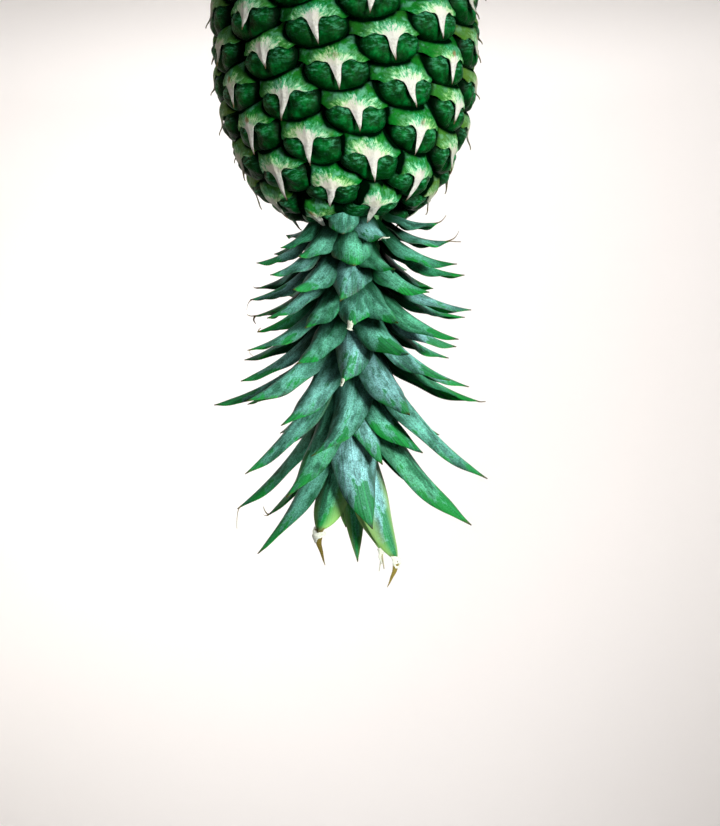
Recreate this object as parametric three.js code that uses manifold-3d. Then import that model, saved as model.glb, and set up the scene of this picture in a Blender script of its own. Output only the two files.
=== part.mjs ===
// A whole pineapple with its crown of leaves, standing on its cut base.
// Millimetres, +Z up. The origin is the middle of the flat base.
import * as THREE from "three";
import { mergeVertices } from "three/addons/utils/BufferGeometryUtils.js";
import Module from "manifold-3d";

const wasm = await Module();
wasm.setup();

// The fruit is a barrel: radius * (1 - |height|^endBulge)^(1/sideBulge), with height from -1 to 1
const fruit = {
  radius: 59.6,
  halfLength: 89.2,
  endBulge: 2.39,
  sideBulge: 2.67,
  middleHeight: 85,
  coreDepth: 9,
  coreSides: 24,
  coreRings: 14,
};

// The eyes follow one spiral, each with the same share of the surface
const eyes = {
  area: 492,
  turn: 137.82,
  firstTurn: -126.93,
  shift: -0.18,
  lowest: -57,
  highest: 63,
  halfWidth: 15.8,
  halfHeight: 12.9,
  rootDepth: 11,
  rootShare: 1.2,
  rimDepth: 2.2,
  rimShare: 0.74,
  peakLean: 10.5,
  peakRise: 1.4,
  crownClearRadius: 19,
  uprightRadius: 24,
  leaningRadius: 44,
  sizeSpread: 0.04,
  peakDrift: 1.5,
  sides: 6,
};

// The cut face that the fruit stands on, and the stalk above it
const stalk = {
  cutRadius: 25.5,
  topRadius: 36,
  height: 12,
  sides: 24,
};

// The round seat of the crown, sunk between the topmost eyes
const seat = {
  plugRadius: 20,
  sideGap: 0.6,
  faceGap: 0.3,
  shoulderRadius: 24,
  shoulderFoot: 158,
  face: 170,
  plugTop: 182,
  sides: 24,
};

// The crown's stem and the spiral of its leaves, from the lowest leaf to the heart
const crown = {
  leaves: 90,
  firstEye: 67,
  turn: 138.46,
  stemFoot: 172,
  stemTop: 262,
  stemFootRadius: 22,
  stemTopRadius: 6.8,
  stemWaist: 0.62,
  stemSides: 13,
  lowestLeaf: 165,
  highestLeaf: 250,
  heightPower: 1.15,
  gap: 1.2,
  roomRings: 15,
  roomSides: 25,
};

// A leaf's size at the foot of the crown, and how much each changes up to the heart
const leaf = {
  tipHeight: 178,
  tipRise: 95,
  heartRise: 72,
  heartRisePower: 3.3,
  reach: 37,
  reachGain: 33,
  heartDraw: 46,
  heartDrawPower: 9,
  width: 14,
  widthGain: 6,
  widthPower: 1.3,
  arch: 52,
  archLoss: 22,
  rootInset: 5,
  smallestRoot: 1.5,
  thickness: 1.8,
  tipThinning: 0.6,
  fold: 0.22,
  widestAt: 0.42,
  rootShare: 0.95,
  rootShareLoss: 0.33,
  tipPower: 2,
  ringCount: 5,
  turnSpread: 4,
  heightSpread: 4,
  reachSpread: 0.08,
  sideBend: 8,
  bendStart: 0.6,
  twist: 12,
  ripple: 0.7,
  rippleWaves: 2.5,
};

// Leaves that grow their own way: angles in degrees, reach and tip height in millimetres
const ownWay = {
  0: { turn: -4, reach: 32, tipHeight: 179, sideBend: 0, twist: 0, width: 13.5, arch: -60, tipPower: 4 },
  1: { reach: 44 },
  2: { reach: 42, tipHeight: 173, sideBend: 0 },
  7: { turn: 100, reach: 49, tipHeight: 181, sideBend: 0 },
  10: { turn: 64, reach: 54, tipHeight: 192, sideBend: 0 },
  13: {
    turn: 4, reach: 34, tipHeight: 193, sideBend: 0, twist: 0,
    width: 19, arch: -50, tipPower: 2.5, fold: 0.34,
  },
  15: { reach: 54, tipHeight: 197, sideBend: 0 },
  26: { turn: -2, reach: 37, tipHeight: 208, sideBend: -24, twist: 8, width: 19, arch: -40, fold: 0.34 },
  28: { reach: 57, sideBend: 0 },
  33: { reach: 58, sideBend: 0 },
  36: { reach: 58, tipHeight: 225, sideBend: 0 },
  37: { reach: 44, tipHeight: 222, sideBend: 0 },
  39: {
    turn: 4, reach: 39, tipHeight: 219, sideBend: -17, twist: 6,
    width: 18, arch: -35, tipPower: 2.4, fold: 0.32,
  },
  52: { turn: 1, reach: 43, tipHeight: 243, sideBend: -20, twist: 8, width: 18, arch: 0.5, fold: 0.34 },
  54: { reach: 56, sideBend: 0 },
  59: { reach: 70, tipHeight: 260, sideBend: 0, arch: 34 },
  62: { turn: 62, reach: 69, tipHeight: 288, sideBend: 2, arch: 34, width: 19 },
  63: { turn: -80, reach: 65, tipHeight: 255, sideBend: 0, arch: 34 },
  65: { turn: -6, reach: 52, tipHeight: 274, sideBend: -34, twist: 12, width: 20 },
  67: { reach: 36, tipHeight: 272, sideBend: 0 },
  70: { reach: 30, tipHeight: 282, sideBend: 0 },
  72: { reach: 46, tipHeight: 275, sideBend: 0 },
  75: { reach: 41, tipHeight: 277, sideBend: 0 },
  76: { reach: 56, tipHeight: 306, sideBend: 0 },
  78: { turn: 6, reach: 43, tipHeight: 308, sideBend: 12, twist: -6, width: 23 },
  80: { turn: 66, reach: 60, tipHeight: 311, sideBend: 0, twist: 20, arch: 30 },
  81: { reach: 51, tipHeight: 323, sideBend: -3, twist: 0 },
  82: { reach: 34, tipHeight: 322, sideBend: 0, twist: 0 },
  83: { turn: 38, reach: 36, tipHeight: 330, sideBend: -4, twist: 0, width: 20, tipPower: 3 },
  84: { reach: 48, tipHeight: 315, sideBend: 0 },
  85: { reach: 14, tipHeight: 316, sideBend: 0 },
  86: { turn: -30, reach: 36, tipHeight: 316, sideBend: 4, twist: 0, width: 19, tipPower: 4 },
  87: { reach: 22, tipHeight: 322, sideBend: 0 },
  88: { turn: 8, reach: 13, tipHeight: 331, sideBend: 0, twist: 2, width: 14 },
  89: { turn: 60, reach: 16, tipHeight: 328, sideBend: 0, width: 16 },
};

// A fixed uneven value from 0 to 1 for each number and kind
function uneven(number, kind) {
  const wave = Math.sin(number * 12.9898 + kind * 78.233) * 43758.5453;
  return wave - Math.floor(wave);
}

// The same, from -1 to 1
function sway(number, kind) {
  return 2 * uneven(number, kind) - 1;
}

function radiusAt(height) {
  const share = Math.min(Math.abs(height - fruit.middleHeight) / fruit.halfLength, 1);
  return fruit.radius * (1 - share ** fruit.endBulge) ** (1 / fruit.sideBulge);
}

// How fast the radius grows with height
function slopeAt(height) {
  const step = 0.1;
  return (radiusAt(height + step) - radiusAt(height - step)) / (2 * step);
}

// A closed geometry as a solid
function solidOf(geometry) {
  const weldDistance = 1e-4;
  const plain = geometry.clone();
  plain.deleteAttribute("normal");
  plain.deleteAttribute("uv");
  const merged = mergeVertices(plain, weldDistance);
  return new wasm.Manifold(
    new wasm.Mesh({
      numProp: 3,
      vertProperties: new Float32Array(merged.attributes.position.array),
      triVerts: new Uint32Array(merged.index.array),
    }),
  );
}

// The solid's one outer body, without scraps, slivers and sealed hollows, as a geometry
function geometryOf(solid) {
  const sliver = 0.04;
  const bodies = solid.simplify(sliver).decompose();
  const largest = bodies.reduce((a, b) => (a.volume() > b.volume() ? a : b));
  const mesh = largest.getMesh();
  const geometry = new THREE.BufferGeometry();
  geometry.setAttribute("position", new THREE.BufferAttribute(mesh.vertProperties, 3));
  geometry.setIndex(new THREE.BufferAttribute(mesh.triVerts, 1));
  geometry.computeVertexNormals();
  return geometry;
}

// Joins solids two by two, so that no union grows before it has to
function joined(solids) {
  let rest = solids;
  while (rest.length > 1) {
    const next = [];
    for (let i = 0; i < rest.length; i += 2) {
      next.push(i + 1 < rest.length ? rest[i].add(rest[i + 1]) : rest[i]);
    }
    rest = next;
  }
  return rest[0];
}

// A body turned round +Z from points of [radius, height], lowest first
function turned(points, sides) {
  const profile = points.map(([radius, height]) => new THREE.Vector2(radius, height));
  const geometry = new THREE.LatheGeometry(profile, sides);
  geometry.rotateX(Math.PI / 2);
  return solidOf(geometry);
}

function cylinder(radius, foot, top, sides) {
  return turned(
    [
      [0, foot],
      [radius, foot],
      [radius, top],
      [0, top],
    ],
    sides,
  );
}

// The barrel's profile, moved outwards by an offset and closed on the axis
function barrelPoints(offset, rings) {
  const narrowest = 0.5;
  const points = [];
  for (let i = 0; i <= rings; i += 1) {
    const share = Math.sin((i / rings - 0.5) * Math.PI);
    const height = fruit.middleHeight + share * fruit.halfLength;
    const slope = slopeAt(height);
    const length = Math.hypot(1, slope);
    const atEnd = i === 0 || i === rings;
    const radius = atEnd ? 0 : Math.max(radiusAt(height) + offset / length, narrowest);
    const rise = atEnd ? offset * Math.sign(share) : (-slope / length) * offset;
    points.push([radius, height + rise]);
  }
  return points;
}

// The height of every eye, where the surface below it holds its number of shares
function eyeHeights() {
  const steps = 4000;
  const heights = [];
  const counts = [0];
  for (let i = 0; i <= steps; i += 1) {
    const share = Math.sin((i / steps - 0.5) * Math.PI);
    heights.push(fruit.middleHeight + share * fruit.halfLength);
  }
  for (let i = 1; i <= steps; i += 1) {
    const low = radiusAt(heights[i - 1]);
    const high = radiusAt(heights[i]);
    const length = Math.hypot(heights[i] - heights[i - 1], high - low);
    counts.push(counts[i - 1] + (Math.PI * (low + high) * length) / eyes.area);
  }
  const middleCount = counts[steps / 2];
  return (number) => {
    const count = number + eyes.shift + middleCount;
    const above = counts.findIndex((value) => value >= count);
    if (above < 1) return null;
    const part = (count - counts[above - 1]) / (counts[above] - counts[above - 1]);
    return heights[above - 1] + part * (heights[above] - heights[above - 1]);
  };
}

const heightOfEye = eyeHeights();

// The frame of an eye: x across, y towards the crown, z outwards, at the surface
function eyeFrame(number) {
  const height = heightOfEye(number);
  if (height === null) return null;
  const turn = THREE.MathUtils.degToRad(eyes.firstTurn - number * eyes.turn);
  const away = new THREE.Vector3(-Math.sin(turn), -Math.cos(turn), 0);
  const slope = slopeAt(height);
  const along = away.clone().multiplyScalar(slope).add(new THREE.Vector3(0, 0, 1)).normalize();
  const across = new THREE.Vector3(0, 0, 1).cross(away).normalize();
  const out = across.clone().cross(along).normalize();
  const place = away.clone().multiplyScalar(radiusAt(height)).setZ(height);
  const frame = new THREE.Matrix4().makeBasis(across, along, out).setPosition(place);
  return { frame, height, radius: radiusAt(height) };
}

// One eye: a six-sided plate rooted in the core, whose peak leans towards the crown as its bract does
function eyePlate(number, place) {
  const size = 1 + eyes.sizeSpread * sway(number, 1);
  const nearCrown = place.height > fruit.middleHeight;
  const reach = (place.radius - eyes.uprightRadius) / (eyes.leaningRadius - eyes.uprightRadius);
  const lean = nearCrown ? THREE.MathUtils.clamp(reach, 0, 1) : 1;
  const points = [
    [0, -eyes.rootDepth],
    [eyes.rootShare, -eyes.rootDepth],
    [eyes.rimShare, -eyes.rimDepth],
    [0, eyes.peakRise * lean],
  ];
  const profile = points.map(([radius, height]) => new THREE.Vector2(radius, height));
  const geometry = new THREE.LatheGeometry(profile, eyes.sides);
  geometry.rotateX(Math.PI / 2);
  geometry.rotateZ(Math.PI / eyes.sides);
  geometry.scale(eyes.halfWidth * size, eyes.halfHeight * size, 1);
  const positions = geometry.attributes.position;
  for (let i = 0; i < positions.count; i += 1) {
    if (positions.getZ(i) > -eyes.rimDepth / 2) {
      positions.setX(i, eyes.peakDrift * sway(number, 3));
      positions.setY(i, eyes.peakLean * lean);
    }
  }
  geometry.applyMatrix4(place.frame);
  return solidOf(geometry);
}

function makeFruit() {
  const solids = [turned(barrelPoints(-fruit.coreDepth, fruit.coreRings), fruit.coreSides)];
  const foot = [
    [0, 0],
    [stalk.cutRadius, 0],
    [stalk.topRadius, stalk.height],
    [0, stalk.height],
  ];
  solids.push(turned(foot, stalk.sides));
  for (let number = eyes.lowest; number <= eyes.highest; number += 1) {
    const place = eyeFrame(number);
    if (!place) continue;
    const upper = place.height > fruit.middleHeight;
    if (upper && place.radius < eyes.crownClearRadius) continue;
    solids.push(eyePlate(number, place));
  }
  const shoulder = cylinder(seat.shoulderRadius, seat.shoulderFoot, seat.face, seat.sides);
  const below = new THREE.BoxGeometry(4 * fruit.radius, 4 * fruit.radius, fruit.radius);
  below.translate(0, 0, -fruit.radius / 2);
  const body = joined([...solids, shoulder]).subtract(solidOf(below));
  const socketTop = seat.face + fruit.radius;
  return body.subtract(cylinder(seat.plugRadius + seat.sideGap, seat.face, socketTop, seat.sides));
}

// The facts of one leaf: where it leaves the stem, where its tip is, and how it bends between
function leafFacts(number) {
  const place = number / (crown.leaves - 1);
  const turn = eyes.firstTurn - crown.firstEye * eyes.turn - number * crown.turn;
  const stemRadius = crown.stemFootRadius + (crown.stemTopRadius - crown.stemFootRadius) * place;
  const rise = (crown.highestLeaf - crown.lowestLeaf) * place ** crown.heightPower;
  const tipRise = leaf.tipRise * place + leaf.heartRise * place ** leaf.heartRisePower;
  const spread = leaf.reachGain * place - leaf.heartDraw * place ** leaf.heartDrawPower;
  return {
    turn: turn + leaf.turnSpread * sway(number, 4),
    height: crown.lowestLeaf + rise,
    root: Math.max(stemRadius - leaf.rootInset, leaf.smallestRoot),
    tipHeight: leaf.tipHeight + tipRise + leaf.heightSpread * sway(number, 5),
    reach: (leaf.reach + spread) * (1 + leaf.reachSpread * sway(number, 6)),
    width: leaf.width + leaf.widthGain * place ** leaf.widthPower,
    rootShare: leaf.rootShare - leaf.rootShareLoss * place,
    arch: leaf.arch - leaf.archLoss * place,
    fold: leaf.fold,
    tipPower: leaf.tipPower,
    sideBend: leaf.sideBend * sway(number, 8),
    twist: leaf.twist * sway(number, 9),
    phase: 2 * Math.PI * uneven(number, 10),
    ...ownWay[number],
  };
}

// The leaf's half width at a share of its length
function halfWidthAt(facts, share) {
  const widest = leaf.widestAt;
  const full = facts.width / 2;
  if (share < widest) {
    const rise = Math.sin((share / widest) * Math.PI * 0.5);
    return full * (facts.rootShare + (1 - facts.rootShare) * rise);
  }
  return full * (1 - ((share - widest) / (1 - widest)) ** facts.tipPower);
}

// The leaf's midrib, an arc from root to tip: places and frames at even shares of its length
function midrib(facts, steps) {
  const radians = THREE.MathUtils.degToRad;
  const turn = radians(facts.turn);
  const point = new THREE.Vector3(-Math.sin(turn), -Math.cos(turn), 0).multiplyScalar(facts.root);
  point.z = facts.height;
  const outwards = facts.reach - facts.root;
  const upwards = facts.tipHeight - facts.height;
  const mean = Math.atan2(upwards, outwards);
  const arch = radians(facts.arch);
  const length = (Math.hypot(outwards, upwards) * (arch / 2)) / Math.sin(arch / 2);
  const stations = [];
  for (let i = 0; i <= steps; i += 1) {
    const share = i / steps;
    const lift = mean + arch * (0.5 - share);
    const bent = turn + radians(facts.sideBend) * (2 * share - leaf.bendStart);
    const away = new THREE.Vector3(-Math.sin(bent), -Math.cos(bent), 0);
    const along = away.clone().multiplyScalar(Math.cos(lift)).setZ(Math.sin(lift));
    const back = away.clone().multiplyScalar(Math.sin(lift)).setZ(-Math.cos(lift));
    const across = back.clone().cross(along);
    const roll = radians(facts.twist) * share;
    back.applyAxisAngle(along, roll);
    across.applyAxisAngle(along, roll);
    stations.push({ share, point: point.clone(), along, back, across });
    point.addScaledVector(along, length / steps);
  }
  return stations;
}

// The triangles of a leaf: rings of four corners between a root point and a tip point.
// Corners 0 and 2 are the leaf's edges, 1 and 3 its two faces, which are split alike.
function leafTriangles(rings) {
  const last = 4 * (rings - 1) + 1;
  const at = (ring, corner) => {
    if (ring === 0) return 0;
    return ring === rings ? last : 4 * (ring - 1) + 1 + corner;
  };
  const triangles = [];
  for (let ring = 0; ring < rings; ring += 1) {
    for (const [left, right, isUpper] of [
      [0, 1, true],
      [1, 2, true],
      [0, 3, false],
      [3, 2, false],
    ]) {
      const [a, b] = [at(ring, left), at(ring, right)];
      const [d, c] = [at(ring + 1, left), at(ring + 1, right)];
      if (a !== b) triangles.push(...(isUpper ? [a, d, b] : [a, b, d]));
      if (c !== d) triangles.push(...(isUpper ? [b, d, c] : [b, c, d]));
    }
  }
  return triangles;
}

// One leaf: a closed thin shell, folded along the midrib
function leafSolid(number) {
  const facts = leafFacts(number);
  const points = [];
  midrib(facts, leaf.ringCount).forEach((station, ring) => {
    if (ring === 0 || ring === leaf.ringCount) {
      points.push(...station.point.toArray());
      return;
    }
    const half = halfWidthAt(facts, station.share);
    const thick = (leaf.thickness / 2) * (1 - leaf.tipThinning * station.share);
    for (const [side, face] of [
      [-1, 0],
      [0, 1],
      [1, 0],
      [0, -1],
    ]) {
      const wave = Math.sin(facts.phase + side + station.share * leaf.rippleWaves * 2 * Math.PI);
      const lift = Math.abs(side) * (facts.fold * 2 * half + leaf.ripple * wave);
      const point = station.point.clone();
      point.addScaledVector(station.across, side * half);
      point.addScaledVector(station.back, face * thick - lift);
      points.push(...point.toArray());
    }
  });
  const geometry = new THREE.BufferGeometry();
  geometry.setAttribute("position", new THREE.Float32BufferAttribute(points, 3));
  geometry.setIndex(leafTriangles(leaf.ringCount));
  return solidOf(geometry);
}

function makeCrown() {
  const waistHeight = (crown.stemFoot + crown.stemTop) / 2;
  const stem = turned(
    [
      [0, crown.stemFoot],
      [crown.stemFootRadius, crown.stemFoot],
      [crown.stemFootRadius * crown.stemWaist, waistHeight],
      [crown.stemTopRadius, crown.highestLeaf],
      [0, crown.stemTop],
    ],
    crown.stemSides,
  );
  const solids = [stem];
  for (let number = 0; number < crown.leaves; number += 1) {
    solids.push(leafSolid(number));
  }
  const room = turned(barrelPoints(crown.gap, crown.roomRings), crown.roomSides);
  const plug = cylinder(seat.plugRadius, seat.face + seat.faceGap, seat.plugTop, seat.sides);
  return joined(solids).subtract(room).add(plug);
}

const group = new THREE.Group();

const fruitMesh = new THREE.Mesh(
  geometryOf(makeFruit()),
  new THREE.MeshStandardMaterial({ color: 0x1c5a2b, roughness: 0.5, metalness: 0 }),
);
fruitMesh.name = "fruit";
group.add(fruitMesh);

const crownMesh = new THREE.Mesh(
  geometryOf(makeCrown()),
  new THREE.MeshStandardMaterial({ color: 0x2f7a5a, roughness: 0.55, metalness: 0 }),
);
crownMesh.name = "crown";
group.add(crownMesh);

export default group;
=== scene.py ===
# A whole pineapple with its crown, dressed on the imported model. Metres, +Z up, standing on its cut base.
import math

import bpy
import numpy as np
from mathutils import Matrix, Vector

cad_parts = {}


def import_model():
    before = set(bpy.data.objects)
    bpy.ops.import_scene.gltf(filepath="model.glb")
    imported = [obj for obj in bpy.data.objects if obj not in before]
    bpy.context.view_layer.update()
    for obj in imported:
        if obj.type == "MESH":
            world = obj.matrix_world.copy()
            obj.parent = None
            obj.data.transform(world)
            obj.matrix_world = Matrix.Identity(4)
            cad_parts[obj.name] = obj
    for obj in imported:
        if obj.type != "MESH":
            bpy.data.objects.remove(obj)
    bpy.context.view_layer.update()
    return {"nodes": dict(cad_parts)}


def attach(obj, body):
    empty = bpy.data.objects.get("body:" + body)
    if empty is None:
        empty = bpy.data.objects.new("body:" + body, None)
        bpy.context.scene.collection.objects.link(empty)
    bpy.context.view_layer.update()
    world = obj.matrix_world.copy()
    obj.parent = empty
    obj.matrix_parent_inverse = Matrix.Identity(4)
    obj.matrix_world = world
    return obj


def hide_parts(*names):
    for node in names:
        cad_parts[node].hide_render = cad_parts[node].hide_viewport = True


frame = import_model()
mm = 0.001
print("frame loaded:", sorted(frame["nodes"]))


# A fixed uneven value from 0 to 1 for each number and kind, and the same from -1 to 1
def uneven(number, kind):
    wave = math.sin(number * 12.9898 + kind * 78.233) * 43758.5453
    return wave - math.floor(wave)


def sway(number, kind):
    return 2 * uneven(number, kind) - 1


def smooth(value, low, high):  # 0 below low, 1 above high, eased between
    share = np.clip((value - low) / (high - low), 0, 1)
    return share * share * (3 - 2 * share)


def colour(code):  # an sRGB hex value as linear red, green, blue, alpha
    parts = [int(code[i : i + 2], 16) / 255 for i in (1, 3, 5)]
    return [p / 12.92 if p <= 0.04045 else ((p + 0.055) / 1.055) ** 2.4 for p in parts] + [1]


def addNode(tree, kind, links=None, stops=None, out=0, **settings):
    made = tree.nodes.new("ShaderNode" + kind)
    for name, value in settings.items():
        setattr(made, name, value)
    for place, (position, code) in enumerate(stops or []):
        ramp = made.color_ramp.elements
        stop = ramp[place] if place < len(ramp) else ramp.new(position)
        stop.position = position
        stop.color = colour(code)
    for key, value in (links or {}).items():
        if isinstance(value, bpy.types.NodeSocket):
            tree.links.new(value, made.inputs[key])
        else:
            made.inputs[key].default_value = value
    return made.outputs[out]


def newMaterial(name):
    material = bpy.data.materials.new(name)
    material.use_nodes = True
    tree = material.node_tree
    return material, tree, tree.nodes["Principled BSDF"]


def deselectAll():
    if bpy.context.object and bpy.context.object.mode != "OBJECT":
        bpy.ops.object.mode_set(mode="OBJECT")
    bpy.ops.object.select_all(action="DESELECT")


def places(piece):  # every vertex of a piece, as rows of x, y, z
    found = np.empty(len(piece.data.vertices) * 3)
    piece.data.vertices.foreach_get("co", found)
    return found.reshape(-1, 3)


def setPlaces(piece, points):
    piece.data.vertices.foreach_set("co", np.ascontiguousarray(points, dtype=float).ravel())
    piece.data.update()


def setValue(piece, name, values):  # one number for each vertex, which a material can read
    made = piece.data.attributes.new(name, "FLOAT", "POINT")
    everywhere = np.broadcast_to(values, len(piece.data.vertices))
    made.data.foreach_set("value", np.ascontiguousarray(everywhere, dtype=np.float32))


def setMap(piece, name, points):  # a UV map from two numbers for each vertex
    made = piece.data.uv_layers.new(name=name)
    corners = np.empty(len(piece.data.loops), dtype=np.int32)
    piece.data.loops.foreach_get("vertex_index", corners)
    made.data.foreach_set("uv", np.ascontiguousarray(points[corners], dtype=np.float32).ravel())


def applyModifier(piece, kind, **settings):
    deselectAll()
    piece.select_set(True)
    bpy.context.view_layer.objects.active = piece
    modifier = piece.modifiers.new(kind.lower(), kind)
    for name, value in settings.items():
        setattr(modifier, name, value)
    bpy.ops.object.modifier_apply(modifier=modifier.name)


def joinPieces(pieces, name):
    deselectAll()
    for piece in pieces:
        piece.select_set(True)
    bpy.context.view_layer.objects.active = pieces[0]
    if len(pieces) > 1:
        bpy.ops.object.join()
    joined = bpy.context.view_layer.objects.active
    joined.name = name
    joined.data.name = name
    return joined


def shadeSmooth(piece, degrees):
    deselectAll()
    piece.select_set(True)
    bpy.context.view_layer.objects.active = piece
    bpy.ops.object.shade_smooth_by_angle(angle=math.radians(degrees))


# Fruit body: the same barrel as the solid model, in millimetres
body = {
    "radius": 59.6,
    "halfLength": 89.2,
    "endBulge": 2.39,
    "sideBulge": 2.67,
    "middleHeight": 85,
    "coreDepth": 6.2,  # how far the dark body lies below the tops of the eyes
    "coreFoot": 12,  # height at which the dark body starts
    "leastRadius": 12,  # eyes near the ends are bent no tighter than this
}
share = np.sin(np.linspace(-0.5, 0.5, 4001) * math.pi)
heights = body["middleHeight"] + share * body["halfLength"]
radii = body["radius"] * (1 - np.abs(share) ** body["endBulge"]) ** (1 / body["sideBulge"])
steps = np.hypot(np.diff(heights), np.diff(radii))
arcs = np.concatenate([[0], np.cumsum(steps)])  # distance along the profile, from the stalk end
between = (arcs[1:] + arcs[:-1]) / 2
outwards = np.interp(arcs, between, np.diff(heights) / steps)  # the surface's direction
upwards = np.interp(arcs, between, -np.diff(radii) / steps)

# Spiral of eyes: every eye has the same share of the surface
spiral = {
    "area": 492,  # square millimetres for each eye
    "turn": 137.82,  # degrees from one eye to the next
    "firstTurn": -126.93,
    "shift": -0.18,
    "lowest": -57,  # numbers of the eyes next to the stalk and the crown
    "highest": 63,
    "bands": 6,  # the rind is split into this many pieces
}
areas = math.pi * (radii[1:] + radii[:-1]) * steps
counts = np.concatenate([[0], np.cumsum(areas / spiral["area"])])
counts -= counts[len(counts) // 2]


def eyeArc(number):  # how far up the profile an eye lies
    return float(np.interp(number + spiral["shift"], counts, arcs))


def onBody(points, turn, arc):  # points across, towards the crown and outwards, laid on the barrel
    at = np.clip(arc + points[:, 1], 0, arcs[-1])
    around = np.interp(at, arcs, radii)
    radial = around + np.interp(at, arcs, outwards) * points[:, 2]
    height = np.interp(at, arcs, heights) + np.interp(at, arcs, upwards) * points[:, 2]
    angle = math.radians(turn) - points[:, 0] / np.maximum(around, body["leastRadius"])
    return np.stack([-np.sin(angle) * radial, -np.cos(angle) * radial, height], 1)


# One eye, in millimetres: two rounded lobes, and a bract that covers them from the stalk side
# and ends in a spike
eye = {
    "halfWidth": 14.8,
    "middle": 2.2,
    "towardsCrown": 9.4,
    "towardsStalk": 8.8,
    "square": 2.05,  # 2 is a round eye, more is squarer
    "floor": -7.0,
    "top": 0.3,
    "steepness": 7,  # more is a flatter top with steeper sides
    "lobeOut": 6.4,  # each lobe's middle, across and towards the crown
    "lobeUp": 3.6,
    "lobeRise": 1.1,
    "grooveDepth": 1.7,
    "grooveWidth": 1.6,
    "sink": 1.0,  # how far the lobes dip under the bract's edge
    "bractTop": 1.3,
    "bractFall": 0.022,  # how steeply the bract falls towards the stalk
    "wingFall": 0.009,  # and to the sides
    "wingEnd": 11.8,  # where the wings drop to the sides
    "wingDrop": 0.35,
    "filletWidth": 1.1,
    "keelHeight": 0.35,  # a fine ridge along the middle, which grows on the spike
    "keelGrowth": 0.45,
    "keelWidth": 1.1,
    "tentHalfWidth": 13,  # the bract is a tent with hollow sides, this wide at its free edge
    "tentReach": 12,
    "tentPower": 1.2,
    "tentDrop": 1.1,
    "hollow": 0.6,  # how deep the bract is hollowed between its ridge and its rim
    "bractReach": 12,
    # the bract's back corners reach further, into the valleys between the lobes above
    "cornerReach": 0.012,
    "cornerKeep": 0.55,  # and fall less steeply there
    "bractHalfWidth": 19.5,
    "bractEdge": -0.85,  # the bract's free edge, towards the crown
    "bractThickness": 0.4,
    "spikeHalfWidth": 2.0,
    "spikeFoot": 1.75,
    "spikeTip": 10.6,
    "spikeLift": 0.5,
    "mapWidth": 40,  # the eye's map spans this
}


def eyeBorder(x, y):  # 0 in the middle of an eye, 1 at its border
    half = np.where(y > eye["middle"], eye["towardsCrown"], eye["towardsStalk"])
    power = eye["square"]
    sideways = np.abs(x / eye["halfWidth"]) ** power
    return (sideways + np.abs((y - eye["middle"]) / half) ** power) ** (1 / power)


def lobeHeight(x, y):
    inside = 1 - np.minimum(eyeBorder(x, y), 1) ** eye["steepness"]
    dome = eye["floor"] + (eye["top"] - eye["floor"]) * np.sqrt(inside)
    fromLobe = (np.abs(x) - eye["lobeOut"]) ** 2 / 14 + (y - eye["lobeUp"]) ** 2 / 15
    groove = np.exp(-((x / eye["grooveWidth"]) ** 2)) * (1 - 0.5 * smooth(y, 4, 10))
    sunk = eye["sink"] * (1 - smooth(y, -1, 2.5))
    return dome + eye["lobeRise"] * np.exp(-fromLobe) - eye["grooveDepth"] * groove - sunk


def bractEnd(x):  # where the bract's free edge runs: two shallow arches, a fillet and the spike
    out = np.abs(x)
    end = eye["wingEnd"]
    corner = np.where(out < end, (out / end) ** 3, 1 - eye["wingDrop"] * (out - end))
    beside = np.maximum(out - eye["spikeHalfWidth"], 0)
    fillet = (eye["spikeFoot"] - eye["bractEdge"]) * np.exp(-beside / eye["filletWidth"])
    narrowing = np.maximum(1 - out / eye["spikeHalfWidth"], 0) ** 0.95
    return eye["bractEdge"] + corner + fillet + (eye["spikeTip"] - eye["spikeFoot"]) * narrowing


def bractHeight(x, y):
    back = np.maximum(-1 - y, 0)
    out = np.abs(x)
    onSpike = smooth(y, 0, eye["spikeTip"])
    keep = 1 - eye["cornerKeep"] * smooth(out, 3, 10)
    fall = eye["bractFall"] * back**2.45 * keep + eye["wingFall"] * out**2.15
    tent = eye["tentHalfWidth"] * np.maximum(1 - back / eye["tentReach"], 0) ** eye["tentPower"]
    fall += eye["tentDrop"] * smooth(out - tent, -1.5, 3.5)
    fall += eye["hollow"] * smooth(out, 1.5, 5.5) * smooth(back, 0.2, 2.6)
    keel = (eye["keelHeight"] + eye["keelGrowth"] * onSpike) * np.exp(-((x / eye["keelWidth"]) ** 2))
    return eye["bractTop"] - fall + keel + eye["spikeLift"] * onSpike


def makeLobes():
    deselectAll()
    bpy.ops.mesh.primitive_uv_sphere_add(segments=44, ring_count=24, radius=1)
    lobes = bpy.context.object
    bpy.ops.object.mode_set(mode="EDIT")
    bpy.ops.mesh.select_all(action="SELECT")
    bpy.ops.mesh.bisect(plane_co=(0, 0, 0.02), plane_no=(0, 0, 1), clear_inner=True)  # the raised half
    bpy.ops.object.mode_set(mode="OBJECT")
    ball = places(lobes)
    out = np.hypot(ball[:, 0], ball[:, 1])
    angle = np.arctan2(ball[:, 1], ball[:, 0])
    power = eye["square"]
    corner = (np.abs(np.cos(angle)) ** power + np.abs(np.sin(angle)) ** power) ** (-1 / power)
    half = np.where(ball[:, 1] > 0, eye["towardsCrown"], eye["towardsStalk"])
    x = out * corner * np.cos(angle) * eye["halfWidth"]
    y = out * corner * np.sin(angle) * half + eye["middle"]
    setPlaces(lobes, np.stack([x, y, lobeHeight(x, y)], 1))
    setValue(lobes, "part", 0)
    setValue(lobes, "along", 0)
    return lobes


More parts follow.
